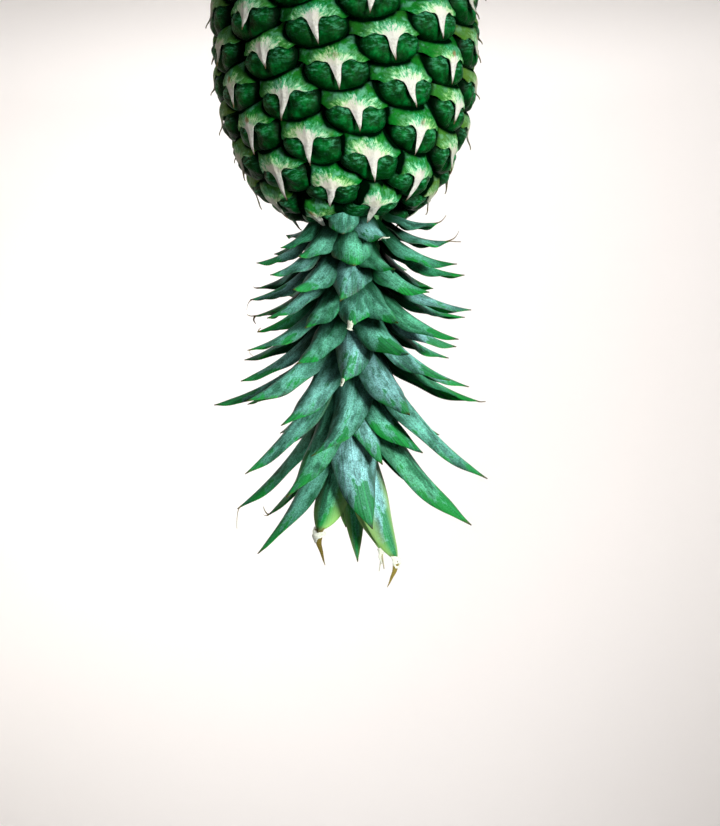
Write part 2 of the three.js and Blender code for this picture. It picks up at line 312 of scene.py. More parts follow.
def makeBract():
    deselectAll()
    bpy.ops.mesh.primitive_grid_add(x_subdivisions=44, y_subdivisions=17, size=2)
    bract = bpy.context.object
    flat = places(bract)
    closer = np.sign(flat[:, 0]) * np.abs(flat[:, 0]) ** 1.6  # closer columns on the spike
    x = closer * eye["bractHalfWidth"]
    along = (flat[:, 1] + 1) / 2
    back = -eye["bractReach"] - eye["cornerReach"] * np.minimum(np.abs(x), 13) ** 2
    y = back + (bractEnd(x) - back) * along
    setPlaces(bract, np.stack([x, y, bractHeight(x, y)], 1))
    setValue(bract, "part", 1)
    setValue(bract, "along", along)
    applyModifier(bract, "SOLIDIFY", thickness=eye["bractThickness"], offset=-1)
    return bract


def makeEye():
    pattern = joinPieces([makeLobes(), makeBract()], "eyePattern")
    shadeSmooth(pattern, 50)
    points = places(pattern)
    setMap(pattern, "eye", points[:, :2] / eye["mapWidth"] + 0.5)
    # the height, which the material turns into painted shade in the crevices
    setValue(pattern, "depth", points[:, 2])
    return pattern


# The eyes around an eye: their numbers, and their places from it, across and towards the crown
def neighbours(number):
    arc = eyeArc(number)
    around = max(float(np.interp(arc, arcs, radii)), 14)
    found = []
    for step in (1, 2, 3, 5, 8, 13, 21):
        for other in (number - step, number + step):
            angle = (spiral["turn"] * (other - number) + 180) % 360 - 180
            found.append((other, np.array([math.radians(angle) * around, eyeArc(other) - arc])))
    return found


def fitOf(number, directions, usual):  # how much larger an eye is in each direction than the middlemost eye
    return np.clip(cellReach(number, directions) / usual, 0.62, 1.25)


def lobeGap(number, points):  # how far each point lies outside the neighbours' lobes, in millimetres
    gap = np.full(len(points), 9.0)
    for other, away in neighbours(number):
        if np.hypot(*away) > 45:
            continue
        local = points[:, :2] - away - [0, eye["middle"]]
        directions = local / np.maximum(np.hypot(local[:, 0], local[:, 1]), 1e-6)[:, None]
        local /= fitOf(other, directions, cellReach(0, directions))[:, None]
        border = eyeBorder(local[:, 0], local[:, 1] + eye["middle"])
        gap = np.minimum(gap, (border - 1) * eye["halfWidth"])
    return gap


# How far the eye's cell reaches in each direction, before its neighbours' cells
def cellReach(number, directions):
    share = np.zeros(len(directions))
    for _, away in neighbours(number):
        share += np.maximum(2 * directions @ away / (away @ away), 0) ** 8
    return share ** (-1 / 8)


growth = {  # how the eyes differ from each other, in millimetres
    "size": 0.04,
    "turned": 5,  # degrees
    "spikeLean": 2.2,
    "spikeShorter": 2.6,
    "spikeBend": 1.3,
    "spikeRise": 0.9,
    "dryShare": 0.8,  # the eyes at the sides are drier
    "dryShorter": 0.42,
    "dryCurl": 1.8,
    "wingWaves": (0.12, 0.4),  # outwards and towards the crown
    "lobeWaves": 0.25,
}


def makeRind(material):
    pattern = makeEye()
    flat = places(pattern)
    count = len(pattern.data.vertices)
    part = np.empty(count, dtype=np.float32)
    pattern.data.attributes["part"].data.foreach_get("value", part)
    onBract = part > 0.5
    ownGap = (1 - eyeBorder(flat[:, 0], flat[:, 1])) * eye["halfWidth"]
    onSpike = onBract * smooth(flat[:, 1], 0.5, eye["spikeTip"]) * (np.abs(flat[:, 0]) < 3)
    beyond = np.maximum(flat[:, 1] - eye["spikeFoot"], 0)
    onWing = onBract * smooth(flat[:, 1], -7, -1) * smooth(np.abs(flat[:, 0]), 2.5, 5)
    fromMiddle = flat[:, :2] - [0, eye["middle"]]
    directions = fromMiddle / np.maximum(np.hypot(fromMiddle[:, 0], fromMiddle[:, 1]), 1e-6)[:, None]
    usual = cellReach(0, directions)
    numbers = list(range(spiral["lowest"], spiral["highest"] + 1))
    size = math.ceil(len(numbers) / spiral["bands"])
    bands = []
    for band in range(spiral["bands"]):
        copies = []
        for number in numbers[band * size : (band + 1) * size]:
            copy = pattern.copy()
            copy.data = pattern.data.copy()
            bpy.context.collection.objects.link(copy)
            points = flat.copy()
            fit = fitOf(number, directions, usual)
            fit *= 1 + growth["size"] * sway(number, 1)
            points[:, :2] = fromMiddle * fit[:, None] + [0, eye["middle"]]
            gap = np.where(onBract, lobeGap(number, points), ownGap)
            points[:, 0] += onSpike * growth["spikeLean"] * sway(number, 3)  # each leans its own way
            turn = spiral["firstTurn"] - number * spiral["turn"]
            atSide = float(smooth(abs(math.sin(math.radians(turn))), 0.8, 1))
            dryness = atSide * growth["dryShare"] + 0.2 * uneven(number, 19)
            shorter = (onSpike > 0) * beyond * growth["dryShorter"] * dryness
            points[:, 1] -= onSpike * growth["spikeShorter"] * uneven(number, 13) ** 2 + shorter
            points[:, 0] += onSpike**3 * growth["spikeBend"] * sway(number, 21)
            curl = onSpike**2 * growth["dryCurl"] * dryness
            points[:, 2] += onSpike * growth["spikeRise"] * sway(number, 12) + curl
            rise, shift = growth["wingWaves"]
            points[:, 2] += onWing * rise * np.sin(flat[:, 0] * 0.7 + 6 * uneven(number, 14))
            points[:, 1] += onWing * shift * np.sin(flat[:, 0] * 0.9 + 6 * uneven(number, 15))
            phase = flat[:, 0] * 0.6 + flat[:, 1] * 0.8 + 6 * uneven(number, 18)
            points[:, 2] += ~onBract * growth["lobeWaves"] * np.sin(phase)
            turned = math.radians(growth["turned"] * sway(number, 2))
            x = points[:, 0] * math.cos(turned) - points[:, 1] * math.sin(turned)
            y = points[:, 0] * math.sin(turned) + points[:, 1] * math.cos(turned)
            laid = onBody(np.stack([x, y, points[:, 2]], 1), turn, eyeArc(number))
            setPlaces(copy, laid * mm)
            # the distance to the crevice, which the material turns into painted shade
            setValue(copy, "gap", gap)
            setValue(copy, "tone", uneven(number, 16))
            setValue(copy, "dry", dryness)
            copies.append(copy)
        piece = joinPieces(copies, f"rindBand{band}")
        piece.data.materials.clear()
        piece.data.materials.append(material)
        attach(piece, "root")
        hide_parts("fruit")
        bands.append(piece)
    bpy.data.objects.remove(pattern)
    print("rind:", len(numbers), "eyes in", len(bands), "pieces")
    return bands


# Crown: leaves on one spiral round the stem, in millimetres and degrees
crown = {
    "leaves": 90,
    "firstEye": 67,
    "turn": 138.46,
    "stemFootRadius": 22,
    "stemTopRadius": 6.8,
    "lowestLeaf": 165,
    "highestLeaf": 250,
    "heightPower": 1.15,
}
leaf = {
    "tipHeight": 178,
    "tipRise": 95,
    "heartRise": 72,
    "heartRisePower": 3.3,
    "reach": 37,
    "reachGain": 33,
    "heartDraw": 46,
    "heartDrawPower": 9,
    "width": 14,
    "widthGain": 6,
    "widthPower": 1.3,
    "arch": 52,
    "archLoss": 22,
    "rootInset": 5,
    "smallestRoot": 1.5,
    "thickness": 1.5,
    "tipThinning": 0.6,
    "edgeThickness": 0.3,
    "fold": 0.27,
    "foldSpread": 0.06,
    "widestAt": 0.42,
    "rootShare": 0.95,
    "rootShareLoss": 0.33,
    "tipPower": 2,
    "turnSpread": 4,
    "heightSpread": 4,
    "reachSpread": 0.08,
    "sideBend": 8,
    "bendStart": 0.6,
    "twist": 12,
    "ripple": 0.7,
    "rippleWaves": 2.5,
    "columns": 16,
    "rows": 40,
}
ownWay = {  # leaves that grow their own way
    0: dict(turn=-4, reach=32, tipHeight=179, sideBend=0, twist=0, width=13.5, arch=-60,
        tipPower=4, fold=0.22, tone=0.3),
    1: dict(reach=44),
    2: dict(reach=42, tipHeight=173, sideBend=0),
    5: dict(tone=0.5),
    7: dict(turn=100, reach=49, tipHeight=181, sideBend=0),
    10: dict(turn=64, reach=54, tipHeight=192, sideBend=0),
    13: dict(turn=4, reach=34, tipHeight=193, sideBend=0, twist=0, width=19, arch=-50,
        tipPower=2.5, fold=0.34, tone=0.1),
    15: dict(reach=54, tipHeight=197, sideBend=0),
    26: dict(turn=-2, reach=37, tipHeight=208, sideBend=-24, twist=8, width=19, arch=-40,
        tipPower=1.9, fold=0.34, tone=0.5),
    28: dict(reach=57, sideBend=0),
    33: dict(reach=58, sideBend=0),
    36: dict(reach=58, tipHeight=225, sideBend=0),
    37: dict(reach=44, tipHeight=222, sideBend=0),
    39: dict(turn=4, reach=39, tipHeight=219, sideBend=-17, twist=6, width=18, arch=-35,
        tipPower=2.4, fold=0.32, tone=0.3),
    52: dict(turn=1, reach=43, tipHeight=243, sideBend=-20, twist=8, width=18, arch=0.5,
        tipPower=1.9, fold=0.34, tone=0.55),
    54: dict(reach=56, sideBend=0),
    59: dict(reach=70, tipHeight=260, sideBend=0, arch=34),
    62: dict(turn=62, reach=69, tipHeight=288, sideBend=2, arch=34, width=19),
    63: dict(turn=-80, reach=65, tipHeight=255, sideBend=0, arch=34),
    65: dict(turn=-6, reach=52, tipHeight=274, sideBend=-34, twist=12, width=20, tone=0.4),
    67: dict(reach=36, tipHeight=272, sideBend=0),
    70: dict(reach=30, tipHeight=282, sideBend=0),
    72: dict(reach=46, tipHeight=275, sideBend=0),
    75: dict(reach=41, tipHeight=277, sideBend=0),
    76: dict(reach=56, tipHeight=306, sideBend=0),
    78: dict(turn=6, reach=43, tipHeight=308, sideBend=12, twist=-6, width=23, tone=0.62),
    80: dict(turn=66, reach=60, tipHeight=311, sideBend=0, twist=20, arch=30),
    81: dict(reach=51, tipHeight=323, sideBend=-3, twist=0),
    82: dict(reach=34, tipHeight=322, sideBend=0, twist=0),
    83: dict(turn=38, reach=35, tipHeight=327, sideBend=-4, twist=0, width=20, tipPower=3, lime=0.6),
    84: dict(reach=48, tipHeight=315, sideBend=0),
    85: dict(reach=14, tipHeight=316, sideBend=0),
    86: dict(turn=-30, reach=35, tipHeight=312, sideBend=4, twist=0, width=19, tipPower=4, lime=0.5),
    87: dict(reach=22, tipHeight=322, sideBend=0, lime=0.5),
    88: dict(turn=8, reach=13, tipHeight=331, sideBend=0, twist=2, width=14, lime=0.4, tone=0.98),
    89: dict(turn=60, reach=16, tipHeight=328, sideBend=0, width=16, lime=0.7),
}


# Dried or torn tips: where each ends from the leaf's tip, its width in millimetres and how pale it is
shreds = {
    2: [dict(to=(-3.5, 0, -3), width=1.6, pale=0.1)],
    7: [dict(to=(-4, 0, -4.5), width=1.8, pale=0.1), dict(to=(-5, 0, 0.5), width=1.2, pale=0.1)],
    19: [dict(to=(1.5, 0, -1.2), width=1.2, pale=0.05)],
    24: [dict(to=(1.8, 0, 4.8), width=1.5, pale=0.05)],
    32: [dict(to=(3.2, 0, -1), width=1.2, pale=0.2), dict(to=(-1, 0, 3.6), width=1.6, pale=0.05)],
    37: [dict(to=(-1.8, 0, -2), width=1.2, pale=0.2)],
    39: [dict(to=(1.5, -1, 0.8), width=3.2, pale=0.6), dict(to=(-1.2, 0, 1.6), width=1.4, pale=0.6)],
    42: [dict(to=(-2.2, 0, 2.4), width=1.0, pale=0.2)],
    5: [dict(to=(-4, -1, -1), width=4, pale=0.6)],
    52: [dict(to=(0.5, 0, 1.4), width=1.8, pale=0.6)],
    59: [dict(to=(-3, 0, 0.2), width=1.2, pale=0.1)],
    76: [dict(to=(0.5, 0, 9.8), width=1.1, pale=0.2)],
    84: [dict(to=(1.8, 0, -4.5), width=0.9, pale=0.25), dict(to=(2, 0, -0.5), width=1.2, pale=0.25)],
    83: [dict(to=(0.8, 0, 3.2), width=5, pale=0.6), dict(to=(5, -1, 11.5), width=3.2, pale=0.25)],
    86: [dict(to=(1.5, 0, 4.5), width=7.5, pale=0.65), dict(to=(-3, 0, 15), width=4.2, pale=0.2)],
    89: [
        dict(to=(0.6, 0, 5.5), width=4.5, pale=0.6),
        dict(to=(1.6, 0, 9), width=1, pale=0.5),
        dict(to=(-0.8, 0, 8), width=1, pale=0.4),
    ],
}


def leafFacts(number):
    place = number / (crown["leaves"] - 1)
    turn = spiral["firstTurn"] - crown["firstEye"] * spiral["turn"] - number * crown["turn"]
    stemRadius = crown["stemFootRadius"] + (crown["stemTopRadius"] - crown["stemFootRadius"]) * place
    stemRise = (crown["highestLeaf"] - crown["lowestLeaf"]) * place ** crown["heightPower"]
    tipRise = leaf["tipRise"] * place + leaf["heartRise"] * place ** leaf["heartRisePower"]
    spread = leaf["reachGain"] * place - leaf["heartDraw"] * place ** leaf["heartDrawPower"]
    facts = {
        "place": place,
        "turn": turn + leaf["turnSpread"] * sway(number, 4),
        "height": crown["lowestLeaf"] + stemRise,
        "root": max(stemRadius - leaf["rootInset"], leaf["smallestRoot"]),
        "tipHeight": leaf["tipHeight"] + tipRise + leaf["heightSpread"] * sway(number, 5),
        "reach": (leaf["reach"] + spread) * (1 + leaf["reachSpread"] * sway(number, 6)),
        "width": leaf["width"] + leaf["widthGain"] * place ** leaf["widthPower"],
        "arch": leaf["arch"] - leaf["archLoss"] * place,
        "sideBend": leaf["sideBend"] * sway(number, 8),
        "twist": leaf["twist"] * sway(number, 9),
        "rootShare": leaf["rootShare"] - leaf["rootShareLoss"] * place,
        "tipPower": leaf["tipPower"],
        "fold": leaf["fold"] + leaf["foldSpread"] * sway(number, 20),
        "tone": uneven(number, 17),
        "lime": 0,
        "phase": 2 * math.pi * uneven(number, 10),
    }
    facts.update(ownWay.get(number, {}))
    return facts


def halfWidthAt(facts, along):
    widest = leaf["widestAt"]
    swell = np.sin(np.minimum(along / widest, 1) * math.pi / 2)
    rising = facts["rootShare"] + (1 - facts["rootShare"]) * swell
    falling = 1 - np.maximum((along - widest) / (1 - widest), 0) ** facts["tipPower"]
    return facts["width"] / 2 * np.where(along < widest, rising, falling)


def midrib(facts, steps):  # places and directions along the leaf's middle, an arc from root to tip
    turn = math.radians(facts["turn"])
    point = Vector((-math.sin(turn) * facts["root"], -math.cos(turn) * facts["root"], facts["height"]))
    away = facts["reach"] - facts["root"]
    up = facts["tipHeight"] - facts["height"]
    mean, arch = math.atan2(up, away), math.radians(facts["arch"])
    length = math.hypot(away, up) * (arch / 2) / math.sin(arch / 2)
    stations = []
    for i in range(steps + 1):
        along = i / steps
        lift = mean + arch * (0.5 - along)
        bent = turn + math.radians(facts["sideBend"]) * (2 * along - leaf["bendStart"])
        out = Vector((-math.sin(bent), -math.cos(bent), 0))
        ahead = out * math.cos(lift) + Vector((0, 0, math.sin(lift)))
        back = out * math.sin(lift) - Vector((0, 0, math.cos(lift)))
        roll = Matrix.Rotation(math.radians(facts["twist"]) * along, 3, ahead)
        stations.append([*point, *(roll @ back), *(roll @ back.cross(ahead))])
        point = point + ahead * (length / steps)
    return np.array(stations), length


def makeLeafBlank():  # a flat closed leaf, 2 wide, 1 long and 1 thick, that every leaf is bent from
    deselectAll()
    bpy.ops.mesh.primitive_grid_add(x_subdivisions=leaf["columns"], y_subdivisions=leaf["rows"], size=2)
    blank = bpy.context.object
    bpy.ops.object.mode_set(mode="EDIT")
    bpy.ops.mesh.select_all(action="SELECT")
    bpy.ops.transform.resize(value=(1, 0.5, 1))
    bpy.ops.transform.translate(value=(0, 0.5, 0))
    bpy.ops.object.mode_set(mode="OBJECT")
    applyModifier(blank, "SOLIDIFY", thickness=1, offset=0)
    return blank


def makeShreds(number, facts, stations):  # thin strips that leave the leaf just before its tip and bend away
    tip = Vector(stations[-1, :3])
    back, side = Vector(stations[-1, 3:6]), Vector(stations[-1, 6:9])
    ahead = side.cross(back)
    made = []
    for kind, shred in enumerate(shreds.get(number, [])):
        deselectAll()
        bpy.ops.mesh.primitive_grid_add(x_subdivisions=4, y_subdivisions=12, size=2)
        strip = bpy.context.object
        applyModifier(strip, "SOLIDIFY", thickness=1, offset=0)
        flat = places(strip)
        along = np.clip((flat[:, 1] + 1) / 2, 0, 1)
        start = np.array(tip - ahead * 2.5)
        bend = np.array(tip + ahead * min(2.0, shred["width"]))
        end = np.array(tip + Vector(shred["to"]))
        middle = np.outer((1 - along) ** 2, start) + np.outer(2 * along * (1 - along), bend)
        middle += np.outer(along**2, end)
        reach = Vector(shred["to"])
        broad = reach.cross(back).normalized()
        if broad.length < 0.5:
            broad = side
        ragged = 1 + 0.3 * np.sin(along * 14 + kind * 2 + number) * np.sign(flat[:, 0]) * along
        half = shred["width"] / 2 * (1 - along**1.4) * ragged + 0.12
        curl = 0.12 * shred["width"] * np.sin(along * 6 + number)
        lifted = flat[:, 2] * 0.35 + curl - 0.2 * half * flat[:, 0] ** 2
        points = middle + np.outer(flat[:, 0] * half, broad) + np.outer(lifted, back)
        setPlaces(strip, points * mm)
        setMap(strip, "leaf", np.stack([flat[:, 0] * half / 30 + 0.5, along * 0.1], 1))
        setValue(strip, "across", flat[:, 0] * 0)
        setValue(strip, "along", 1)
        setValue(strip, "outside", 1)
        setValue(strip, "lime", 0)
        setValue(strip, "tone", 0.5)
        setValue(strip, "shred", shred["pale"] + 0.02)
        made.append(strip)
    return made


def makeLeaf(blank, number, material):
    facts = leafFacts(number)
    piece = blank.copy()
    piece.data = blank.data.copy()
    bpy.context.collection.objects.link(piece)
    flat = places(piece)
    across, along, face = flat[:, 0], np.clip(flat[:, 1], 0, 1), flat[:, 2]
    stations, length = midrib(facts, leaf["rows"])
    at = along * leaf["rows"]
    whole = np.arange(leaf["rows"] + 1)
    rows = np.stack([np.interp(at, whole, stations[:, i]) for i in range(9)], 1)
    half = np.maximum(halfWidthAt(facts, along), 0.18)
    wave = np.sin(facts["phase"] + np.sign(across) + along * leaf["rippleWaves"] * 2 * math.pi)
    ripple = leaf["ripple"] * wave * across**2 * smooth(half, 0, 4)
    lift = facts["fold"] * 2 * half * across**2 + ripple
    middle = leaf["thickness"] * (1 - leaf["tipThinning"] * along)
    swelling = (middle - leaf["edgeThickness"]) * (1 - across**2) * smooth(half, 0, 3)
    thick = leaf["edgeThickness"] + swelling
    points = rows[:, :3] + rows[:, 6:] * (across * half)[:, None]
    points += rows[:, 3:6] * (face * thick - lift)[:, None]
    setPlaces(piece, points * mm)
    setMap(piece, "leaf", np.stack([across * half / 30 + 0.5, along * length / 120], 1))
    setValue(piece, "across", across)
    setValue(piece, "along", along)
    setValue(piece, "outside", face + 0.5)
    setValue(piece, "lime", facts["lime"])
    setValue(piece, "tone", facts["tone"])
    setValue(piece, "shred", 0)
    piece = joinPieces([piece] + makeShreds(number, facts, stations), f"leaf{number}")
    shadeSmooth(piece, 60)
    piece.data.materials.clear()
    piece.data.materials.append(material)
    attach(piece, "root")
    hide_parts("crown")
    return piece


def makeLeaves(material):
    blank = makeLeafBlank()
    for number in range(crown["leaves"]):
        makeLeaf(blank, number, material)
    bpy.data.objects.remove(blank)
    print("crown:", crown["leaves"], "leaves")


# Turned pieces, each from a profile of [radius, height] in millimetres
turnedParts = {
    "coreSides": 96,
    "stem": [[0.01, 158], [16, 158], [16, 168], [11.5, 216], [6, 250], [0.01, 262]],
    "base": [
        [0.01, 1.2], [8, 1.0], [12.6, 0.7], [13.4, 0.0], [14.2, 0.5], [15, 1.6], [17, 1.2],
        [20, 0.2], [25.5, 0.0], [29, 2.6], [33, 7.5], [37, 14.5], [28, 22], [0.01, 26],
    ],
}


def makeTurned(name, profile, material, node):
    deselectAll()
    radius, height = profile[0]
    bpy.ops.mesh.primitive_circle_add(
        vertices=turnedParts["coreSides"], radius=radius * mm, location=(0, 0, height * mm), fill_type="NGON"
    )
    piece = bpy.context.object
    bpy.ops.object.transform_apply(location=True)
    bpy.ops.object.mode_set(mode="EDIT")
    bpy.ops.mesh.select_all(action="SELECT")
    for (inner, low), (outer, high) in zip(profile, profile[1:]):
        bpy.ops.mesh.extrude_region_move(TRANSFORM_OT_translate={"value": (0, 0, (high - low) * mm)})
        bpy.ops.transform.resize(value=(outer / inner, outer / inner, 1))
    bpy.ops.mesh.select_all(action="SELECT")
    bpy.ops.mesh.normals_make_consistent(inside=False)
    bpy.ops.object.mode_set(mode="OBJECT")
    piece.name = name
    shadeSmooth(piece, 40)
    piece.data.materials.append(material)
    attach(piece, "root")
    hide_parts(node)
    return piece


def coreProfile():  # the barrel, sunk below the eyes
    at = np.linspace(0.02, 0.985, 40) * arcs[-1]
    points = []
    for arc in at:
        out, up = np.interp(arc, arcs, outwards), np.interp(arc, arcs, upwards)
        radius = np.interp(arc, arcs, radii) - out * body["coreDepth"]
        height = np.interp(arc, arcs, heights) - up * body["coreDepth"]
        if height > body["coreFoot"]:
            points.append([max(float(radius), 0.01), float(height)])
    return [[0.01, points[0][1]]] + points + [[0.01, points[-1][1] + 0.5]]


rindLook = {
    "onMiddle": (0.5, 0.5, 0),  # the middle of the eye on its map
    "middled": (eye["mapWidth"], eye["mapWidth"], 0),  # mm across the map
    "wide": (0.56, 1.0, 0),  # the white fan is wider than it is long
    "lower": 3.0,  # mm towards the crown, where the fibres fan out from
    "fanStretched": (9.0, 0.5, 60.0),  # across the fibres, along them and from eye to eye
    "fibres": {"Scale": 1.0, "Detail": 5.0, "Roughness": 0.78},
    "blotch": {"Scale": 230.0, "Detail": 5.0, "Roughness": 0.62},  # about 4 mm
    "grain": {"Scale": 1100.0, "Detail": 3.0, "Roughness": 0.6},  # under 1 mm
    "lobeGreen": [(0.3, "#001c05"), (0.5, "#003a0e"), (0.7, "#006a2a")],
    "across": (0.2, 0.8, 0),  # the wrinkles run across the lobes
    "byEye": (150.0, 150.0, 150.0),
    "wrinkles": {"Scale": 1.0, "Detail": 5.0, "Roughness": 0.65},
    "wrinkled": {"From Min": 0.49, "From Max": 0.68},  # a lower start gives more wrinkles
    "under": {"From Min": 6.5, "From Max": 1.0, "To Max": 0.8},  # mm from the white middle, over which the wrinkles and their painted highlight fade
    # pale teal of the wrinkles, with a painted highlight
    "wrinkleHighlightGreen": "#4fac80",
    "low": {"From Min": -2.2, "From Max": 0.6},  # mm of height over which painted shade darkens the lobes
    # painted shade on the lobes, low in the crevices
    "lobeShadeColour": "#001404",
    "fibreShift": {1: -13.0, 2: 4.9},  # mm by which the fibres move the border of the white
    "irregular": {1: 8.0, 2: -3.7},  # mm by which the blotches move it
    "reach": 2.4,  # mm by which it differs from eye to eye
    "reachShare": 10.0,  # mm from the white middle to the deepest green
    "bractColour": [  # from the white middle to the green rim
        (0.17, "#c8cbc6"), (0.28, "#98c6a8"), (0.4, "#40a276"), (0.53, "#077038"),
        (0.66, "#00621c"), (0.82, "#006c1c"), (1.0, "#005216"),
    ],
    "yellowed": [  # the same where the rind is yellower
        (0.17, "#cacab8"), (0.28, "#b0c688"), (0.4, "#86b04c"), (0.53, "#2c7e28"),
        (0.66, "#056416"), (1.0, "#005216"),
    ],
    "broad": {"Scale": 85.0, "Detail": 3.0, "Roughness": 0.6},  # about 12 mm
    "yellowShare": {"From Min": 0.46, "From Max": 0.62, "To Max": 0.5},
    "stalkwards": {"From Min": -1.5, "From Max": -5.0},  # mm from the white middle
    "patches": {"From Min": 0.5, "From Max": 0.64, "To Min": 0.0, "To Max": 0.55},
    "bloomed": "#64b096",
    "onWing": {"From Min": 2.2, "From Max": 4.0},  # mm from the middle line
    "fadeOut": {"From Min": 12.0, "From Max": 6.0},
    "nearEdge": {"From Min": 0.6, "From Max": 0.95, "To Max": 0.45},  # as a share of the bract
    "limeFibres": {"From Min": 0.38, "From Max": 0.6},
    "limed": "#a6d08e",
    "fleckPlace": (0.0, -2.7, 0.0),  # mm from the white middle
    "fleckRagged": 2.4,
    "fleck": {"From Min": 2.9, "From Max": 1.9},  # mm from its own middle
    "hasFleck": {"From Min": 0.45, "From Max": 0.7, "To Max": 0.75},  # by the eye's tone
    "flecked": "#7d5a3c",
    "spikeWidth": {"From Min": 3.2, "From Max": 2.0},  # mm from the middle line
    "spikeStart": {"From Min": 0.0, "From Max": 1.6},
    "spikeColour": [(0.35, "#b4b6b0"), (0.6, "#cacecb")],
    "tipStart": 4.0,  # mm of a dry eye's spike that turn brown
    "tipShare": {"From Min": 7.6, "From Max": 10.5, "To Max": 0.95},  # mm along the spike
    "tipped": "#4a3018",
    "oliveShare": 0.5,  # the most olive that an eye gets
    "oliveTinted": "#5f6a2c",
    "allowed": 2.4,  # mm by which the painted shade on bracts starts deeper than on lobes
    "sunk": {"From Min": -4.6, "From Max": -2.2},  # mm of depth over which the painted crevice shade fades
    "raggedGap": -2.4,  # mm
    "openGap": {"From Min": -1.5, "From Max": 0.1},  # mm outside the neighbours' lobes, over which the painted crevice shade fades
    # painted crevice shade, nearly black
    "paintedCreviceShade": "#000c03",
    "rough": {"From Min": 0.0, "From Max": 1.0, "To Min": 0.42, "To Max": 0.5},  # lobes, then bracts
    "height": 6.0,
    "bump": {"Strength": 0.6, "Distance": 0.0004},
    "ior": 1.45,
    "sheen": {"To Min": 0.0, "To Max": 0.05},  # crevices, then what the light reaches
}


# Pineapple rind, grown: glossy dark green lobes, and a bract whose green fades in fibres
# to a papery white middle and spike
def rindMaterial():
    material, tree, surface = newMaterial("waxyPineappleRind")
    where = addNode(tree, "TexCoord", out="Object")
    onEye = addNode(tree, "UVMap", uv_map="eye")
    part = addNode(tree, "Attribute", attribute_name="part", out="Fac")
    along = addNode(tree, "Attribute", attribute_name="along", out="Fac")
    tone = addNode(tree, "Attribute", attribute_name="tone", out="Fac")
    dry = addNode(tree, "Attribute", attribute_name="dry", out="Fac")
    depth = addNode(tree, "Attribute", attribute_name="depth", out="Fac")
    # places on the eye, in millimetres from the white middle
    onMiddle = addNode(tree, "VectorMath", {0: onEye, 1: rindLook["onMiddle"]}, operation="SUBTRACT")
    middled = addNode(tree, "VectorMath", {0: onMiddle, 1: rindLook["middled"]}, operation="MULTIPLY")
    split = addNode(tree, "SeparateXYZ", {0: middled}).node
    wide = addNode(tree, "VectorMath", {0: middled, 1: rindLook["wide"]}, operation="MULTIPLY")
    fromMiddle = addNode(tree, "VectorMath", {0: wide}, operation="LENGTH", out="Value")
    # fibres that fan out from a point on the spike: noise over the angle, about 0.5 mm apart
    lower = addNode(tree, "Math", {0: rindLook["lower"], 1: split.outputs["Y"]}, operation="SUBTRACT")
    angle = addNode(tree, "Math", {0: split.outputs["X"], 1: lower}, operation="ARCTAN2")
    fan = addNode(tree, "CombineXYZ", {"X": angle, "Y": fromMiddle, "Z": tone})
    fanStretched = addNode(
        tree, "VectorMath", {0: fan, 1: rindLook["fanStretched"]}, operation="MULTIPLY"
    )
    fibres = addNode(tree, "TexNoise", {"Vector": fanStretched} | rindLook["fibres"], out="Fac")
    blotch = addNode(tree, "TexNoise", {"Vector": where} | rindLook["blotch"], out="Fac")
    grain = addNode(tree, "TexNoise", {"Vector": where} | rindLook["grain"], out="Fac")

    lobeGreen = addNode(tree, "ValToRGB", {0: blotch}, stops=rindLook["lobeGreen"])
    # pale teal wrinkles across the lobes, just under the bract, lightened there as a painted highlight where
    # the lobes catch the light
    across = addNode(tree, "VectorMath", {0: middled, 1: rindLook["across"]}, operation="MULTIPLY")
    byEye = addNode(
        tree, "VectorMath", {0: where, 1: rindLook["byEye"], 2: across}, operation="MULTIPLY_ADD"
    )
    wrinkles = addNode(tree, "TexNoise", {"Vector": byEye} | rindLook["wrinkles"], out="Fac")
    wrinkled = addNode(tree, "MapRange", {"Value": wrinkles} | rindLook["wrinkled"])
    under = addNode(tree, "MapRange", {"Value": split.outputs["Y"]} | rindLook["under"])
    wrinkleAndHighlightShare = addNode(tree, "Math", {0: wrinkled, 1: under}, operation="MULTIPLY")
    wrinkleHighlightGreen = addNode(
        tree,
        "Mix",
        {0: wrinkleAndHighlightShare, 6: lobeGreen, 7: colour(rindLook["wrinkleHighlightGreen"])},
        data_type="RGBA",
        out=2,
    )
    # painted shade: the lobes darken towards their low parts
    low = addNode(tree, "MapRange", {"Value": depth} | rindLook["low"])
    lobeShadeColour = addNode(
        tree,
        "Mix",
        {0: low, 6: colour(rindLook["lobeShadeColour"]), 7: wrinkleHighlightGreen},
        data_type="RGBA",
        out=2,
    )
    fibreShift = addNode(tree, "Math", {0: fibres} | rindLook["fibreShift"], operation="MULTIPLY_ADD")
    irregular = addNode(tree, "Math", {0: blotch} | rindLook["irregular"], operation="MULTIPLY_ADD")
    shifted = addNode(tree, "Math", {0: irregular, 1: fibreShift}, operation="ADD")
    reached = addNode(tree, "Math", {0: fromMiddle, 1: shifted}, operation="ADD")
    reach = addNode(tree, "Math", {0: tone, 1: rindLook["reach"], 2: reached}, operation="MULTIPLY_ADD")
    reachShare = addNode(tree, "Math", {0: reach, 1: rindLook["reachShare"]}, operation="DIVIDE")
    bractColour = addNode(tree, "ValToRGB", {0: reachShare}, stops=rindLook["bractColour"])
    yellowed = addNode(tree, "ValToRGB", {0: reachShare}, stops=rindLook["yellowed"])
    broad = addNode(tree, "TexNoise", {"Vector": where} | rindLook["broad"], out="Fac")
    yellowShare = addNode(tree, "MapRange", {"Value": broad} | rindLook["yellowShare"])
    tinged = addNode(tree, "Mix", {0: yellowShare, 6: bractColour, 7: yellowed}, data_type="RGBA", out=2)
    # pale bluish bloom on the half towards the stalk
    stalkwards = addNode(tree, "MapRange", {"Value": split.outputs["Y"]} | rindLook["stalkwards"])
    patches = addNode(tree, "MapRange", {"Value": blotch} | rindLook["patches"])
    bloomShare = addNode(tree, "Math", {0: stalkwards, 1: patches}, operation="MULTIPLY")
    bloomed = addNode(
        tree, "Mix", {0: bloomShare, 6: tinged, 7: colour(rindLook["bloomed"])}, data_type="RGBA", out=2
    )
